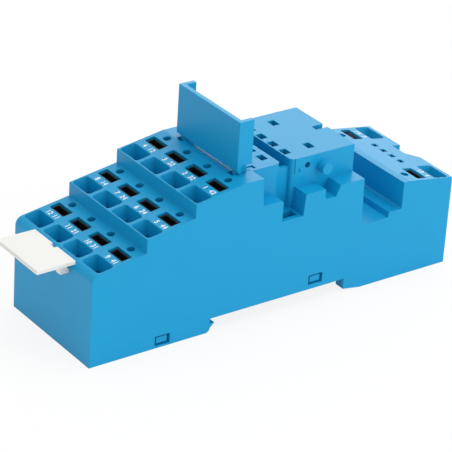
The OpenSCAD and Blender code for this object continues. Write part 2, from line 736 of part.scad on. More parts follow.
// Side view of the latch: a blade whose tip ramps up under the rail's lip
module rail_latch() {
    color([0.2, 0.45, 0.66]) on_rail() difference() {
        across(-latch_w / 2, latch_w / 2)
            polygon([
                [latch_x0, grip_z], [latch_x0, grip_z - 0.4], [latch_x0 + 1.4, latch_z],
                [latch_x1, latch_z], [latch_x1, grip_z]
            ]);
        translate([window_x0, -window_w / 2, latch_z - cut])
            cube([window_x1 - window_x0, window_w, latch_t + 2 * cut]);
        // Slot for a screwdriver's blade
        translate([latch_x1 - 2.9, -driver_slot_w / 2, latch_z - cut])
            cube([driver_slot_l, driver_slot_w, latch_t + 2 * cut]);
    }
}

// Points of the return spring's wire, section by section
function spring_point(i, j) =
    let (a = 360 * i / spring_steps,
         b = 360 * j / spring_sides,
         n = spring_turns * spring_steps,
         x0 = window_x0 + seat_gap + spring_wire / 2,
         x1 = post_x - seat_gap - spring_wire / 2,
         r = spring_d / 2 - spring_wire / 2 + spring_wire / 2 * cos(b))
    [x0 + (x1 - x0) * i / n + spring_wire / 2 * sin(b), r * cos(a), r * sin(a)];

module latch_spring() {
    n = spring_turns * spring_steps;
    m = spring_sides;
    color([0.7, 0.7, 0.72]) on_rail() translate([0, 0, latch_z + latch_t / 2 + 0.3]) polyhedron(
        points = [for (i = [0 : n], j = [0 : m - 1]) spring_point(i, j)],
        faces = concat(
            [[for (j = [0 : m - 1]) m - 1 - j]],
            [for (i = [0 : n - 1], j = [0 : m - 1]) let (k = (j + 1) % m) each [
                [i * m + j, i * m + k, (i + 1) * m + k],
                [i * m + j, (i + 1) * m + k, (i + 1) * m + j]
            ]],
            [[for (j = [0 : m - 1]) n * m + j]]
        )
    );
}

module marker_tag() {
    x0 = tag_inner - tag_l;
    gap = tag_inner / 2;
    color([0.95, 0.95, 0.93]) on_rail() {
        difference() {
            translate([x0, -tag_w / 2, tag_top - tag_t]) cube([tag_l, tag_w, tag_t]);
            translate([tag_inner - tag_notch_l, -tag_notch_w / 2, tag_top - tag_t - cut])
                cube([tag_notch_l + cut, tag_notch_w, tag_t + 2 * cut]);
        }
        // Arms under the tag, with the tongues that plug into the housing
        both_sides(tag_arm_y, tag_arm_y + tag_arm_w)
            polygon([
                [-tag_arm_l, tag_top - tag_t + eps], [-0.7 * tag_arm_l, tag_arm_z], [tag_tongue_l, tag_arm_z],
                [tag_tongue_l, tag_arm_z + tag_tongue_t], [-gap, tag_arm_z + tag_tongue_t],
                [-gap, tag_top - tag_t + eps]
            ]);
    }
}

module release_button(k) {
    color([0.08, 0.08, 0.08]) on_rail() at_terminal(k) translate([button_at, 0, 0]) difference() {
        union() {
            translate([-button_l / 2, -button_w / 2, -flange_top - eps])
                cube([button_l, button_w, flange_top - button_top + eps]);
            translate([-flange_l / 2, -button_w / 2, -flange_top - flange_t]) cube([flange_l, button_w, flange_t]);
            translate([-button_l / 2, -button_w / 2 + 0.5, -nose_bottom])
                cube([button_l, button_w - 1, nose_bottom - flange_top]);
        }
        // Recess for a screwdriver's blade
        translate([-button_l / 2 + 0.25, -button_w / 2 + 0.3, -button_top - 3])
            cube([button_l - 0.5, button_w - 0.6, 3 + cut]);
    }
}

module clamp_spring(k) {
    tip = [-cage_bar + strip_t + 0.15, -clamp_floor + 1];
    local = concat(
        [[0.2, -clamp_floor]],
        arc([clamp_loop_at, -clamp_mid], clamp_loop_r, -90, 90, 8),
        [[clamp_loop_at - 1.6, -clamp_mid + clamp_loop_r - 0.1], tip]
    );
    color([0.75, 0.75, 0.77]) on_rail()
        across(term_y(k) - clamp_w / 2, term_y(k) + clamp_w / 2)
            polygon(ribbon([for (p = local) deck_point(k, p[0], p[1])], strip_t));
}

module contact_strip(k) {
    s = side(k);
    y = term_y(k);
    pin = [pin_x(k), pin_y(k)];
    z = run_z(k);
    drop = deck_point(k, cage_end, -cage_floor);
    jog_x1 = pin[0] - s * (fork_r + 1.3);
    jog_x0 = jog_x1 - s * jog_l;
    touch_z = fork_top - fork_flare;
    touch = strip_t / 2 + 0.1;
    color([0.8, 0.66, 0.36]) on_rail() {
        // Cage under the deck, and the run along the lane
        across(y - strip_w / 2, y + strip_w / 2) polygon(ribbon([
            deck_point(k, -cage_bar, -deck_t - 1.2), deck_point(k, -cage_bar, -cage_floor),
            drop, [drop[0], z], [jog_x0 + s * eps, z]
        ], strip_t));
        // Step from the lane to the pin's column
        translate([0, 0, z - strip_t / 2]) linear_extrude(strip_t) polygon([
            [jog_x0, y - strip_w / 2], [jog_x1, pin[1] - fork_w / 2],
            [jog_x1, pin[1] + fork_w / 2], [jog_x0, y + strip_w / 2]
        ]);
        // Fork that grips the relay's pin
        across(pin[1] - fork_w / 2, pin[1] + fork_w / 2) {
            polygon(ribbon([
                [jog_x1 - s * eps, z], [pin[0] - s * fork_r, z], [pin[0] - s * fork_r, touch_z - fork_bow],
                [pin[0] - s * touch, touch_z], [pin[0] - s * fork_r, fork_top]
            ], strip_t));
            polygon(ribbon([
                [pin[0] - s * fork_r, touch_z - fork_bow - fork_stem],
                [pin[0] + s * fork_r, touch_z - fork_bow - fork_stem],
                [pin[0] + s * fork_r, touch_z - fork_bow], [pin[0] + s * touch, touch_z],
                [pin[0] + s * fork_r, fork_top]
            ], strip_t));
        }
    }
}

housing();
base_cover();
retaining_clip();
rail_latch();
latch_spring();
marker_tag();
for (k = [1 : terminals]) {
    release_button(k);
    clamp_spring(k);
    contact_strip(k);
}
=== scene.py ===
"""Looks for a rail-mounted relay socket with stepped push-in terminal decks.

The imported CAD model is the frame. This script opens the wire ports' mouths and the recesses round the
release buttons, gives the moulded parts their fine edge radii, prints the terminal numbers, winds the
latch's return spring, and dresses every part in its own finish.
"""

from __future__ import annotations

import json
import logging
import math
from dataclasses import dataclass
from enum import Enum
from typing import Any

import bmesh
import bpy
from mathutils import Matrix, Vector


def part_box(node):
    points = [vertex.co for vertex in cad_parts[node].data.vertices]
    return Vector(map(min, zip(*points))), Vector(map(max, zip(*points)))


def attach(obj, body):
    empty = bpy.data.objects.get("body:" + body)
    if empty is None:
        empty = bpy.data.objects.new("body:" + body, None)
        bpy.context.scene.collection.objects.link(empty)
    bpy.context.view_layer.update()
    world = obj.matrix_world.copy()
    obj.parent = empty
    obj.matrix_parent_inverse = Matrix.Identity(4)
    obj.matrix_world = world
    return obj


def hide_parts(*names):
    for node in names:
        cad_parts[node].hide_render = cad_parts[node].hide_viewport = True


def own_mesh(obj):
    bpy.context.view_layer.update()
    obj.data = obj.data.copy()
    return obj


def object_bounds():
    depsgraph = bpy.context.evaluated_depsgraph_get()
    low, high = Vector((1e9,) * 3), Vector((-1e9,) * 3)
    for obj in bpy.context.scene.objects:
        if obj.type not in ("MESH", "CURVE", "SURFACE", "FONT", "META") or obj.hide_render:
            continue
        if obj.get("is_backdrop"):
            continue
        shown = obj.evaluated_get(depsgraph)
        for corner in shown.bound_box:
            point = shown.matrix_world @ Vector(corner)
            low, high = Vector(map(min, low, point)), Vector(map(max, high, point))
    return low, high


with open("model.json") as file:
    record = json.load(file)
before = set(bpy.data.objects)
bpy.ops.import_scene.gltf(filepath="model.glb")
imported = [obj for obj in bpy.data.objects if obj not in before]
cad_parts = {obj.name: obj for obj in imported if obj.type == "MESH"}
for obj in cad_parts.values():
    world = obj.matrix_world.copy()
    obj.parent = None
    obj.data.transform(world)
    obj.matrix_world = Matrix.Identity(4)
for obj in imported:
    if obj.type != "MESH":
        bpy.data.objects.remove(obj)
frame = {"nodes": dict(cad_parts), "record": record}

LOG = logging.getLogger("relay_socket")
MM = 0.001
TERMINALS = 14
CONTACTS = 12
COLUMNS = 4
WHITE = (1.0, 1.0, 1.0, 1.0)
MERGE_MM = 0.002
FLAT_DEG = 0.5


class Ray(Enum):
    """Rays that see the white background instead of the lamps' level."""

    CAMERA = "Is Camera Ray"
    GLOSSY = "Is Glossy Ray"
    TRANSMISSION = "Is Transmission Ray"


def linear_rgb(hex_colour: str) -> tuple[float, float, float, float]:
    """Turns an sRGB hex colour into a linear one.

    Args:
        hex_colour: six hex digits, with or without a leading #.

    Returns:
        Linear red, green and blue, and an alpha of 1.
    """
    digits = hex_colour.lstrip("#")
    values = [int(digits[i : i + 2], 16) / 255 for i in (0, 2, 4)]
    linear = [v / 12.92 if v <= 0.04045 else ((v + 0.055) / 1.055) ** 2.4 for v in values]
    return (linear[0], linear[1], linear[2], 1.0)


def per_metre(size_mm: float) -> float:
    """Gives the texture scale at which one cell of a pattern is size_mm across."""
    return 1000.0 / size_mm


def add_node(
    tree: bpy.types.NodeTree,
    kind: str,
    settings: dict[str, Any] | None = None,
    inputs: dict[Any, Any] | None = None,
) -> bpy.types.Node:
    """Adds a node to a tree, with its settings, and its inputs set or linked.

    Args:
        tree: the node tree.
        kind: the node's type.
        settings: attributes of the node.
        inputs: for each input, by name or number, a value or an output socket to link from.

    Returns:
        The new node.
    """
    node = tree.nodes.new(kind)
    for name, value in (settings or {}).items():
        setattr(node, name, value)
    for key, value in (inputs or {}).items():
        if isinstance(value, bpy.types.NodeSocket):
            tree.links.new(value, node.inputs[key])
        else:
            node.inputs[key].default_value = value
    return node


def new_material(name: str) -> tuple[bpy.types.Material, bpy.types.NodeTree]:
    """Makes an empty material that uses nodes.

    Args:
        name: the material's name.

    Returns:
        The material and its node tree.
    """
    material = bpy.data.materials.new(name)
    material.use_nodes = True
    material.node_tree.nodes.clear()
    return material, material.node_tree


@dataclass(frozen=True)
class MouldedPlastic:
    """Injection-moulded polyamide: an even body colour under a fine satin skin."""

    name: str
    colour: str
    flow_colour: str
    roughness: float
    specular: float = 0.2
    edge_mm: float = 0.16
    edge_samples: int = 6
    flow_mm: float = 16.0
    grain_mm: float = 0.5
    grain_depth_mm: float = 0.02
    grain_strength: float = 0.12
    gloss_below: float = 0.05
    gloss_above: float = 0.07
    refraction: float = 1.53

    def material(self) -> bpy.types.Material:
        """Builds the plastic.

        Returns:
            The material.
        """
        material, tree = new_material(self.name)
        place = add_node(tree, "ShaderNodeTexCoord").outputs["Object"]
        # Melt flow: broad, faint clouds in the colour
        flow = add_node(tree, "ShaderNodeTexNoise", inputs={
            "Vector": place, "Scale": per_metre(self.flow_mm), "Detail": 2.0, "Roughness": 0.5,
        })
        colour = add_node(tree, "ShaderNodeMix", {"data_type": "RGBA"}, {
            "Factor": flow.outputs["Fac"],
            "A": linear_rgb(self.colour), "B": linear_rgb(self.flow_colour),
        })
        # Spark-eroded mould skin: a fine grain that breaks up the gloss
        grain = add_node(tree, "ShaderNodeTexNoise", inputs={
            "Vector": place, "Scale": per_metre(self.grain_mm), "Detail": 3.0, "Roughness": 0.6,
        })
        satin = add_node(tree, "ShaderNodeMapRange", inputs={
            "Value": grain.outputs["Fac"],
            "To Min": self.roughness - self.gloss_below, "To Max": self.roughness + self.gloss_above,
        })
        # Mould radius: the light turns round each edge instead of breaking at it
        edge = add_node(tree, "ShaderNodeBevel", {"samples": self.edge_samples}, {
            "Radius": self.edge_mm * MM,
        })
        skin = add_node(tree, "ShaderNodeBump", inputs={
            "Height": grain.outputs["Fac"], "Strength": self.grain_strength,
            "Distance": self.grain_depth_mm * MM,
            "Normal": edge.outputs["Normal"],
        })
        shader = add_node(tree, "ShaderNodeBsdfPrincipled", inputs={
            "Base Color": colour.outputs["Result"], "Roughness": satin.outputs["Result"],
            "Normal": skin.outputs["Normal"], "Specular IOR Level": self.specular, "IOR": self.refraction,
        })
        add_node(tree, "ShaderNodeOutputMaterial", inputs={"Surface": shader.outputs["BSDF"]})
        return material


@dataclass(frozen=True)
class RolledMetal:
    """Strip or wire drawn to a bright finish, with faint rolling lines along X."""

    name: str
    colour: str
    roughness: float
    line_mm: float = 0.25
    line_stretch: float = 0.05
    gloss_below: float = 0.06
    gloss_above: float = 0.1

    def material(self) -> bpy.types.Material:
        """Builds the metal.

        Returns:
            The material.
        """
        material, tree = new_material(self.name)
        place = add_node(tree, "ShaderNodeTexCoord").outputs["Object"]
        # Stretched along X, the noise turns into fine lines along the strip
        along = add_node(tree, "ShaderNodeMapping", inputs={
            "Vector": place, "Scale": (self.line_stretch, 1.0, 1.0),
        })
        lines = add_node(tree, "ShaderNodeTexNoise", inputs={
            "Vector": along.outputs["Vector"], "Scale": per_metre(self.line_mm), "Detail": 2.0,
        })
        dull = add_node(tree, "ShaderNodeMapRange", inputs={
            "Value": lines.outputs["Fac"],
            "To Min": self.roughness - self.gloss_below, "To Max": self.roughness + self.gloss_above,
        })
        shader = add_node(tree, "ShaderNodeBsdfPrincipled", inputs={
            "Base Color": linear_rgb(self.colour), "Metallic": 1.0, "Roughness": dull.outputs["Result"],
        })
        add_node(tree, "ShaderNodeOutputMaterial", inputs={"Surface": shader.outputs["BSDF"]})
        return material


@dataclass(frozen=True)
class PadInk:
    """White two-part ink laid on by a pad: matt, and a little thin in places."""

    name: str
    colour: str
    thin_colour: str
    speckle_mm: float = 0.3
    thin_from: float = 0.45
    thin_to: float = 0.75
    roughness: float = 0.6

    def material(self) -> bpy.types.Material:
        """Builds the ink.

        Returns:
            The material.
        """
        material, tree = new_material(self.name)
        place = add_node(tree, "ShaderNodeTexCoord").outputs["Object"]
        speckle = add_node(tree, "ShaderNodeTexNoise", inputs={
            "Vector": place, "Scale": per_metre(self.speckle_mm), "Detail": 2.0,
        })
        # The ink's pale colour gives way to a bluish one where the film is thin
        thin = add_node(tree, "ShaderNodeMapRange", inputs={
            "Value": speckle.outputs["Fac"], "From Min": self.thin_from, "From Max": self.thin_to,
        })
        colour = add_node(tree, "ShaderNodeMix", {"data_type": "RGBA"}, {
            "Factor": thin.outputs["Result"],
            "A": linear_rgb(self.colour), "B": linear_rgb(self.thin_colour),
        })
        shader = add_node(tree, "ShaderNodeBsdfPrincipled", inputs={
            "Base Color": colour.outputs["Result"], "Roughness": self.roughness,
        })
        add_node(tree, "ShaderNodeOutputMaterial", inputs={"Surface": shader.outputs["BSDF"]})
        return material


BLUE_NYLON = MouldedPlastic("blue_polyamide", "0A9ACC", "0E96C9", 0.36)
BLUE_COVER = MouldedPlastic("blue_polyamide_cover", "0A97CA", "0E93C7", 0.4)
BLUE_CLIP = MouldedPlastic("blue_polyamide_clip", "0A9ACC", "0E96C9", 0.34)
BLUE_LATCH = MouldedPlastic("blue_acetal_latch", "0A92C4", "0E8EC1", 0.3)
BLACK_NYLON = MouldedPlastic("black_polyamide", "121316", "16171A", 0.42)
WHITE_TAG = MouldedPlastic("white_polycarbonate", "E9E8E4", "E6E5E0", 0.42)
SPRING_STEEL = RolledMetal("stainless_spring_steel", "C9C9C6", 0.28)
CONTACT_BRASS = RolledMetal("tinned_brass", "D8CDB4", 0.33)
WHITE_INK = PadInk("white_pad_ink", "F6F8FA", "C4DCEC")


def own_object(name: str, mesh: bpy.types.Mesh) -> bpy.types.Object:
    """Puts a mesh in the scene as an object at the origin.

    Args:
        name: the object's name.
        mesh: its mesh, in the part's frame.

    Returns:
        The object.
    """
    piece = bpy.data.objects.new(name, mesh)
    bpy.context.scene.collection.objects.link(piece)
    return piece


def baked_mesh(piece: bpy.types.Object) -> bpy.types.Mesh:
    """Applies a piece's modifiers.

    Args:
        piece: an object with modifiers.

    Returns:
        A plain mesh of the result. The object keeps the mesh and loses its modifiers.
    """
    graph = bpy.context.evaluated_depsgraph_get()
    mesh = bpy.data.meshes.new_from_object(piece.evaluated_get(graph))
    piece.modifiers.clear()
    piece.data = mesh
    return mesh


def merged_copy(node: str, flatten: bool) -> bpy.types.Object:
    """Copies a CAD node with its loose triangles merged.

    Args:
        node: the CAD node.
        flatten: whether triangles in one plane become one face.

    Returns:
        The copy.
    """
    work = bmesh.new()
    work.from_mesh(frame["nodes"][node].data)
    bmesh.ops.remove_doubles(work, verts=work.verts, dist=MERGE_MM * MM)
    bmesh.ops.dissolve_degenerate(work, edges=work.edges, dist=MERGE_MM * MM)
    if flatten:
        bmesh.ops.dissolve_limit(
            work, angle_limit=math.radians(FLAT_DEG), verts=work.verts, edges=work.edges,
        )
    mesh = bpy.data.meshes.new(node + "_moulded")
    work.to_mesh(mesh)
    work.free()
    return own_object(node + "_moulded", mesh)


@dataclass(frozen=True)
class Terminal:
    """One wire terminal: where its port is, and which way its deck faces."""

    number: int

    @property
    def mount(self) -> dict[str, Any]:
        """Gives the port's record."""
        return next(m for m in frame["record"]["mounts"] if m["name"] == f"wire_port_{self.number}")

    @property
    def normal(self) -> Vector:
        """Gives the way out of the deck."""
        return Vector(self.mount["axis"]).normalized()

    @property
    def along(self) -> Vector:
        """Gives the way along the deck, from the port to its release button."""
        inward = Vector((1.0 if self.number <= CONTACTS else -1.0, 0.0, 0.0))
        return (inward - inward.dot(self.normal) * self.normal).normalized()

    def point(self, along_mm: float, across_mm: float, out_mm: float) -> Vector:
        """Gives a point near the port.

        Args:
            along_mm: distance along the deck towards the button.
            across_mm: distance along Y.
            out_mm: height above the deck.

        Returns:
            The point in the part's frame, in metres.
        """
        across = Vector((0.0, across_mm, 0.0))
        return Vector(self.mount["pos_m"]) + (self.along * along_mm + across + self.normal * out_mm) * MM


@dataclass(frozen=True)
class Pocket:
    """A rounded rectangular recess that narrows towards its floor, in mm."""

    at_mm: float
    mouth: tuple[float, float]
    floor: tuple[float, float]
    corner_mm: float
    depth_mm: float
    above_mm: float = 0.4
    corner_steps: int = 6

    def ring(self, size: tuple[float, float], corner_mm: float) -> list[tuple[float, float]]:
        """Gives a rounded rectangle's corners.

        Args:
            size: its length along the deck and its width across it.
            corner_mm: the radius of its corners.

        Returns:
            Points along and across the deck, in turn.
        """
        points = []
        for quarter, (sign_u, sign_v) in enumerate(((1, 1), (-1, 1), (-1, -1), (1, -1))):
            centre_u = sign_u * (size[0] / 2 - corner_mm)
            centre_v = sign_v * (size[1] / 2 - corner_mm)
            for step in range(self.corner_steps + 1):
                turn = math.pi / 2 * (quarter + step / self.corner_steps)
                corner = (centre_u + corner_mm * math.cos(turn), centre_v + corner_mm * math.sin(turn))
                points.append(corner)
        return points

    def cut_into(self, work: bmesh.types.BMesh, terminal: Terminal) -> None:
        """Adds the recess, as a closed solid to take away, at a terminal.

        Args:
            work: the mesh that gathers the solids.
            terminal: the terminal.
        """
        rings = []
        for size, out_mm in ((self.mouth, self.above_mm), (self.mouth, 0.0), (self.floor, -self.depth_mm)):
            corner_mm = self.corner_mm * size[0] / self.mouth[0]
            rings.append([
                work.verts.new(terminal.point(self.at_mm + u, v, out_mm))
                for u, v in self.ring(size, corner_mm)
            ])
        faces = [work.faces.new(rings[0]), work.faces.new(rings[-1])]
        for upper, lower in zip(rings, rings[1:]):
            for i in range(len(upper)):
                k = (i + 1) % len(upper)
                faces.append(work.faces.new((upper[i], upper[k], lower[k], lower[i])))
        bmesh.ops.recalc_face_normals(work, faces=faces)


PORT_MOUTH = Pocket(0.0, (4.1, 6.85), (2.5, 5.0), 0.8, 3.2)
BUTTON_WELL = Pocket(5.6, (2.66, 5.7), (2.66, 5.7), 0.3, 0.9)


@dataclass
class MouldedPart:
    """A moulded part whose sharp CAD edges get the small radius that a mould leaves."""

    node: str
    body: str
    slot: str
    finish: bpy.types.Material
    edge_mm: float = 0.0
    pockets: tuple[Pocket, ...] = ()
    rounds: int = 2
    sharp_deg: float = 32.0

    def cut_pockets(self, piece: bpy.types.Object) -> None:
        """Takes the pockets out of the piece at every terminal.

        Args:
            piece: the merged copy.
        """
        work = bmesh.new()
        for number in range(1, TERMINALS + 1):
            for pocket in self.pockets:
                pocket.cut_into(work, Terminal(number))
        mesh = bpy.data.meshes.new("pockets")
        work.to_mesh(mesh)
        work.free()
        cutter = own_object("pockets", mesh)
        taken = piece.modifiers.new("pockets", "BOOLEAN")
        taken.object = cutter
        taken.operation = "DIFFERENCE"
        taken.solver = "MANIFOLD"
        baked_mesh(piece)
        bpy.data.objects.remove(cutter)

    def build(self) -> bpy.types.Object:
        """Rounds the edges and dresses the part.

        Returns:
            The finished piece, which stands for the CAD node.
        """
        piece = merged_copy(self.node, flatten=self.edge_mm > 0)
        if self.pockets:
            self.cut_pockets(piece)
        if self.edge_mm > 0:
            for polygon in piece.data.polygons:
                polygon.use_smooth = True
            radius = piece.modifiers.new("mould_radius", "BEVEL")
            radius.width = self.edge_mm * MM
            radius.segments = self.rounds
            radius.limit_method = "ANGLE"
            radius.angle_limit = math.radians(self.sharp_deg)
            radius.use_clamp_overlap = False
            radius.miter_outer = "MITER_ARC"
            even = piece.modifiers.new("even_faces", "WEIGHTED_NORMAL")
            even.weight = 100
        mesh = baked_mesh(piece)
        mesh.materials.clear()
        mesh.materials.append(self.finish)
        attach(piece, self.body)
        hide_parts(self.node)
        LOG.info("%s: %d faces", piece.name, len(mesh.polygons))
        return piece


def input_identifiers(tree: bpy.types.NodeTree) -> dict[str, str]:
    """Gives the identifier of each input of a geometry node tree, by its name."""
    return {item.name: item.identifier for item in tree.interface.items_tree if item.in_out == "INPUT"}


@dataclass
class TerminalNumbers:
    """Numbers printed on the decks, between each wire port and its release button."""

    finish: bpy.types.Material
    height_mm: float = 1.75
    stroke_mm: float = 0.09
    thickness_mm: float = 0.02
    spacing: float = 1.08
    label_u_mm: float = 3.05
    pin_at_mm: float = -0.8
    contact_at_mm: float = 1.8
    off_deck_mm: float = 0.004

    def tree(self) -> bpy.types.NodeTree:
        """Builds the node tree that prints one label from two numbers.

        Returns:
            The geometry node tree.
        """
        tree = bpy.data.node_groups.new("printed_label", "GeometryNodeTree")
        made = tree.interface
        made.new_socket("Geometry", in_out="INPUT", socket_type="NodeSocketGeometry")
        for name, kind in (
            ("Contact number", "NodeSocketInt"), ("Pin number", "NodeSocketInt"),
            ("Letter height", "NodeSocketFloat"), ("Letter spacing", "NodeSocketFloat"),
            ("Ink thickness", "NodeSocketFloat"), ("Stroke", "NodeSocketFloat"),
            ("Contact at", "NodeSocketVector"), ("Pin at", "NodeSocketVector"),
            ("Turn", "NodeSocketRotation"),
            ("Place", "NodeSocketVector"), ("Ink", "NodeSocketMaterial"),
        ):
            made.new_socket(name, in_out="INPUT", socket_type=kind)
        made.new_socket("Geometry", in_out="OUTPUT", socket_type="NodeSocketGeometry")
        given = add_node(tree, "NodeGroupInput").outputs
        groups = add_node(tree, "GeometryNodeJoinGeometry")
        for number, place in (("Pin number", "Pin at"), ("Contact number", "Contact at")):
            digits = add_node(tree, "FunctionNodeValueToString", {"data_type": "INT"}, {0: given[number]})
            middle = {"align_x": "CENTER", "align_y": "MIDDLE"}
            letters = add_node(tree, "GeometryNodeStringToCurves", middle, {
                "String": digits.outputs[0], "Size": given["Letter height"],
                "Character Spacing": given["Letter spacing"],
            })
            moved = add_node(tree, "GeometryNodeTransform", inputs={
                "Geometry": letters.outputs["Curve Instances"], "Translation": given[place],
            })
            tree.links.new(moved.outputs[0], groups.inputs[0])
        outline = add_node(tree, "GeometryNodeRealizeInstances", inputs={0: groups.outputs[0]})
        flat = add_node(tree, "GeometryNodeFillCurve", {"mode": "NGONS"}, {"Curve": outline.outputs[0]})
        raised = add_node(tree, "GeometryNodeExtrudeMesh", inputs={
            "Mesh": flat.outputs[0], "Offset Scale": given["Ink thickness"],
        })
        # A thin bead along each outline makes the figures as bold as printed ones
        nib = add_node(tree, "GeometryNodeCurvePrimitiveQuadrilateral", inputs={
            "Width": given["Stroke"], "Height": given["Ink thickness"],
        })
        bead = add_node(tree, "GeometryNodeCurveToMesh", inputs={
            "Curve": outline.outputs[0], "Profile Curve": nib.outputs[0],
        })
        figures = add_node(tree, "GeometryNodeJoinGeometry", inputs={0: raised.outputs["Mesh"]})
        tree.links.new(bead.outputs[0], figures.inputs[0])
        placed = add_node(tree, "GeometryNodeTransform", inputs={
            "Geometry": figures.outputs[0], "Translation": given["Place"], "Rotation": given["Turn"],
        })
        solid = add_node(tree, "GeometryNodeRealizeInstances", inputs={0: placed.outputs[0]})
        inked = add_node(tree, "GeometryNodeSetMaterial", inputs={
            "Geometry": solid.outputs[0], "Material": given["Ink"],
        })
        add_node(tree, "NodeGroupOutput", inputs={0: inked.outputs[0]})
        return tree

    def numbers(self, terminal: int) -> tuple[int, int]:
        """Gives a terminal's contact number and pin number.

        Args:
            terminal: the terminal, from 1.

        Returns:
            The contact number, in tens for its pole, and the pin number.
        """
        if terminal > CONTACTS:
            return terminal - CONTACTS, terminal
        function = (2, 4, 1)[(terminal - 1) // COLUMNS]
        pole = COLUMNS - (terminal - 1) % COLUMNS
        return 10 * pole + function, terminal

    def build(self) -> bpy.types.Object:
        """Prints all the labels as one piece.

        Returns:
            The finished piece.
        """
        tree = self.tree()
        sockets = input_identifiers(tree)
        sheet = bmesh.new()
        for number in range(1, TERMINALS + 1):
            terminal = Terminal(number)
            up = terminal.along if number <= CONTACTS else -terminal.along
            reading = up.cross(terminal.normal)
            turn = Matrix((reading, up, terminal.normal)).transposed()
            place = terminal.point(self.label_u_mm, 0.0, self.off_deck_mm)
            blank = own_object("label_blank", bpy.data.meshes.new("label_blank"))
            label = blank.modifiers.new("label", "NODES")
            label.node_group = tree
            contact, pin = self.numbers(number)
            for name, value in (
                ("Contact number", contact), ("Pin number", pin), ("Letter height", self.height_mm * MM),
                ("Letter spacing", self.spacing), ("Ink thickness", self.thickness_mm * MM),
                ("Stroke", self.stroke_mm * MM),
                ("Contact at", (self.contact_at_mm * MM, 0.0, 0.0)),
                ("Pin at", (self.pin_at_mm * MM, 0.0, 0.0)),
                ("Turn", turn.to_euler()), ("Place", place), ("Ink", self.finish),
            ):
                label[sockets[name]] = value
            sheet.from_mesh(baked_mesh(blank))
            bpy.data.objects.remove(blank)
        mesh = bpy.data.meshes.new("terminal_numbers")
        sheet.to_mesh(mesh)
        sheet.free()
        mesh.materials.append(self.finish)
        piece = own_object("terminal_numbers", mesh)
        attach(piece, "socket")
        LOG.info("%s: %d faces", piece.name, len(mesh.polygons))
        return piece


@dataclass
class LatchSpring:
    """The latch's return spring: round wire wound on a straight path."""

    finish: bpy.types.Material
    wire_mm: float = 0.35
    turns: float = 7.0
    travel_mm: float = 2.5
    steps_per_turn: int = 24
    wire_sides: int = 10

    def tree(self) -> bpy.types.NodeTree:
        """Builds the node tree that winds the wire along X.

        Returns:
            The geometry node tree.
        """
        tree = bpy.data.node_groups.new("wound_spring", "GeometryNodeTree")
        made = tree.interface
        made.new_socket("Geometry", in_out="INPUT", socket_type="NodeSocketGeometry")
        for name, kind in (
            ("Turns", "NodeSocketFloat"), ("Coil radius", "NodeSocketFloat"), ("Length", "NodeSocketFloat"),
            ("Wire radius", "NodeSocketFloat"), ("Start", "NodeSocketVector"),
            ("Steel", "NodeSocketMaterial"),
        ):
            made.new_socket(name, in_out="INPUT", socket_type=kind)
        made.new_socket("Geometry", in_out="OUTPUT", socket_type="NodeSocketGeometry")
        given = add_node(tree, "NodeGroupInput").outputs
        helix = add_node(tree, "GeometryNodeCurveSpiral", inputs={
            "Resolution": self.steps_per_turn, "Rotations": given["Turns"], "Height": given["Length"],
            "Start Radius": given["Coil radius"], "End Radius": given["Coil radius"],
        })
        section = add_node(tree, "GeometryNodeCurvePrimitiveCircle", inputs={
            "Resolution": self.wire_sides, "Radius": given["Wire radius"],
        })
        wire = add_node(tree, "GeometryNodeCurveToMesh", inputs={
            "Curve": helix.outputs[0], "Profile Curve": section.outputs[0], "Fill Caps": True,
        })
        laid = add_node(tree, "GeometryNodeTransform", inputs={
            "Geometry": wire.outputs[0], "Translation": given["Start"], "Rotation": (0.0, math.pi / 2, 0.0),
        })
        solid = add_node(tree, "GeometryNodeRealizeInstances", inputs={0: laid.outputs[0]})
        dressed = add_node(tree, "GeometryNodeSetMaterial", inputs={
            "Geometry": solid.outputs[0], "Material": given["Steel"],
        })
        add_node(tree, "NodeGroupOutput", inputs={0: dressed.outputs[0]})
        return tree

    def build(self) -> bpy.types.Object:
        """Winds the spring in the space of its CAD node.

        Returns:
            The finished piece.
        """
        low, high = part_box("latch_spring")
        tree = self.tree()
        sockets = input_identifiers(tree)
        piece = own_object("latch_spring_wound", bpy.data.meshes.new("latch_spring_wound"))
        wound = piece.modifiers.new("wound", "NODES")
        wound.node_group = tree
        wire = self.wire_mm * MM / 2
        middle = (low + high) / 2
        for name, value in (
            ("Turns", self.turns), ("Coil radius", (high.y - low.y) / 2 - wire), ("Wire radius", wire),
            ("Length", high.x - low.x - 2 * wire), ("Start", (low.x + wire, middle.y, middle.z)),
            ("Steel", self.finish),
        ):
            wound[sockets[name]] = value
        mesh = baked_mesh(piece)
        for polygon in mesh.polygons:
            polygon.use_smooth = True
        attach(piece, "socket")
        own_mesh(piece)
        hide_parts("latch_spring")
        LOG.info("%s: %d faces", piece.name, len(mesh.polygons))
        return piece


@dataclass
class Metalwork:
    """Contact strips and clamp springs, which keep their CAD shapes."""

    strips: bpy.types.Material
    springs: bpy.types.Material

    def build(self) -> None:
        """Dresses the strips and the clamp springs."""
        for kind, finish in (("contact_strip", self.strips), ("clamp_spring", self.springs)):
            for number in range(1, TERMINALS + 1):
                mesh = frame["nodes"][f"{kind}_{number}"].data
                mesh.materials.clear()
                mesh.materials.append(finish)
        LOG.info("metalwork: %d strips and springs", 2 * TERMINALS)


def seen_rays(tree: bpy.types.NodeTree) -> bpy.types.NodeSocket:
    """Adds nodes that tell which rays see the white background.

    Args:
        tree: the node tree of the world or of the floor's material.

    Returns:
        A socket that is 1 for those rays, and 0 for the rays that only light the object.
    """
    path = add_node(tree, "ShaderNodeLightPath").outputs
    seen = path[Ray.CAMERA.value]
    for ray in (Ray.GLOSSY, Ray.TRANSMISSION):
        either = add_node(tree, "ShaderNodeMath", {"operation": "MAXIMUM"}, {0: seen, 1: path[ray.value]})
        seen = either.outputs[0]
    return seen


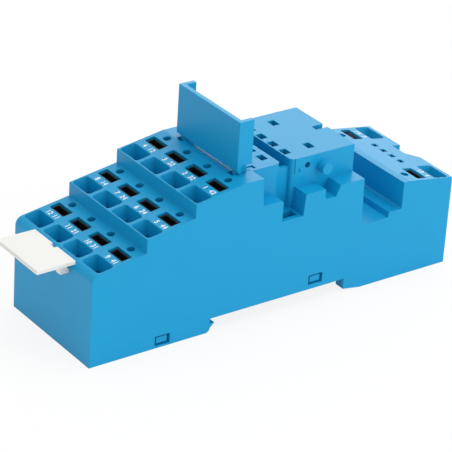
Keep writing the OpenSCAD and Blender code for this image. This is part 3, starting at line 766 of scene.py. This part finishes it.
@dataclass(frozen=True)
class Softbox:
    """A soft square lamp that points at the object: its place and side in metres, its power in watts."""

    name: str
    place: tuple[float, float, float]
    side: float
    watts: float

    def hang(self) -> None:
        """Adds the lamp to the scene."""
        lamp = bpy.data.lights.new(self.name, "AREA")
        lamp.size = self.side
        lamp.energy = self.watts
        holder = bpy.data.objects.new(self.name, lamp)
        bpy.context.scene.collection.objects.link(holder)
        holder.location = self.place
        holder.rotation_euler = (-Vector(self.place)).to_track_quat("-Z", "Y").to_euler()


SOFTBOXES = (
    Softbox("top_softbox", (0.2, -0.05, 0.95), 0.8, 3.2),
    Softbox("front_softbox", (0.4, -0.9, 0.3), 0.7, 3.4),
    # Low behind the object, where the flat tops mirror it to the camera and the tilted decks don't
    Softbox("back_softbox", (0.62, 0.74, 0.38), 0.5, 1.6),
)


@dataclass
class Studio:
    """A plain white sweep under soft lamps."""

    floor_m: float = 6.0
    ambient: float = 0.7
    floor_colour: str = "FAFAFA"
    floor_glow: float = 0.85

    def floor(self, height: float) -> bpy.types.Object:
        """Lays the floor under the object's feet.

        Args:
            height: the floor's height, in metres.

        Returns:
            The floor.
        """
        material, tree = new_material("white_paper")
        paper = add_node(tree, "ShaderNodeBsdfDiffuse", inputs={"Color": linear_rgb(self.floor_colour)})
        # Seen directly, the paper is mostly its own white, and keeps a part of the object's shadow
        white = add_node(tree, "ShaderNodeEmission", inputs={"Color": WHITE, "Strength": 1.0})
        seen = add_node(tree, "ShaderNodeMath", {"operation": "MULTIPLY"}, {
            0: seen_rays(tree), 1: self.floor_glow,
        })
        mixed = add_node(tree, "ShaderNodeMixShader", inputs={
            0: seen.outputs[0], 1: paper.outputs["BSDF"], 2: white.outputs["Emission"],
        })
        add_node(tree, "ShaderNodeOutputMaterial", inputs={"Surface": mixed.outputs["Shader"]})
        half = self.floor_m / 2
        mesh = bpy.data.meshes.new("floor")
        corners = [(x, y, height) for x, y in ((-half, -half), (half, -half), (half, half), (-half, half))]
        mesh.from_pydata(corners, [], [(0, 1, 2, 3)])
        mesh.materials.append(material)
        piece = own_object("floor", mesh)
        piece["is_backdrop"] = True
        return piece

    def world(self) -> None:
        """Fills the surroundings: white where they are seen, softer where they only light the object."""
        world = bpy.data.worlds.new("white_room")
        bpy.context.scene.world = world
        world.use_nodes = True
        tree = world.node_tree
        tree.nodes.clear()
        level = add_node(tree, "ShaderNodeMapRange", inputs={
            "Value": seen_rays(tree), "To Min": self.ambient, "To Max": 1.0,
        })
        room = add_node(tree, "ShaderNodeBackground", inputs={
            "Color": WHITE, "Strength": level.outputs["Result"],
        })
        add_node(tree, "ShaderNodeOutputWorld", inputs={"Surface": room.outputs["Background"]})

    def build(self) -> None:
        """Sets up the floor, the surroundings and the lamps."""
        low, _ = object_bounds()
        self.floor(low.z)
        self.world()
        for lamp in SOFTBOXES:
            lamp.hang()
        LOG.info("studio: floor at %.4f m", low.z)


@dataclass
class Viewpoint:
    """The camera, seen from the contact end, from above and to the near side."""

    place: tuple[float, float, float] = (-0.29875, -0.39206, 0.26702)
    turn_deg: tuple[float, float, float] = (62.514, -3.311, -35.274)
    lens_mm: float = 196.33
    sensor_mm: float = 36.0
    nearest_m: float = 0.05

    def build(self) -> None:
        """Makes the camera."""
        camera = bpy.data.cameras.new("camera")
        camera.lens = self.lens_mm
        camera.sensor_width = self.sensor_mm
        camera.clip_start = self.nearest_m
        holder = bpy.data.objects.new("camera", camera)
        bpy.context.scene.collection.objects.link(holder)
        holder.location = self.place
        holder.rotation_euler = [math.radians(a) for a in self.turn_deg]
        bpy.context.scene.camera = holder


def main() -> None:
    """Builds the pieces in order and reports each."""
    logging.basicConfig(level=logging.INFO, format="%(name)s: %(message)s")
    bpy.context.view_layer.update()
    bpy.context.scene.view_settings.view_transform = "Standard"
    blue, black = BLUE_NYLON.material(), BLACK_NYLON.material()
    steel, ink = SPRING_STEEL.material(), WHITE_INK.material()
    MouldedPart("housing", "socket", "housing_plastic", blue, pockets=(PORT_MOUTH, BUTTON_WELL)).build()
    MouldedPart("base_cover", "socket", "cover_plastic", BLUE_COVER.material()).build()
    MouldedPart("retaining_clip", "clip", "clip_plastic", BLUE_CLIP.material(), edge_mm=0.09).build()
    MouldedPart("rail_latch", "latch", "latch_plastic", BLUE_LATCH.material(), edge_mm=0.14).build()
    MouldedPart("marker_tag", "socket", "tag_plastic", WHITE_TAG.material(), edge_mm=0.12).build()
    for terminal in range(1, TERMINALS + 1):
        MouldedPart(f"release_button_{terminal}", f"release_button_{terminal}", "button_plastic", black,
                    edge_mm=0.06).build()
    TerminalNumbers(ink).build()
    LatchSpring(steel).build()
    Metalwork(CONTACT_BRASS.material(), steel).build()
    Studio().build()
    Viewpoint().build()


if __name__ == "__main__":
    main()
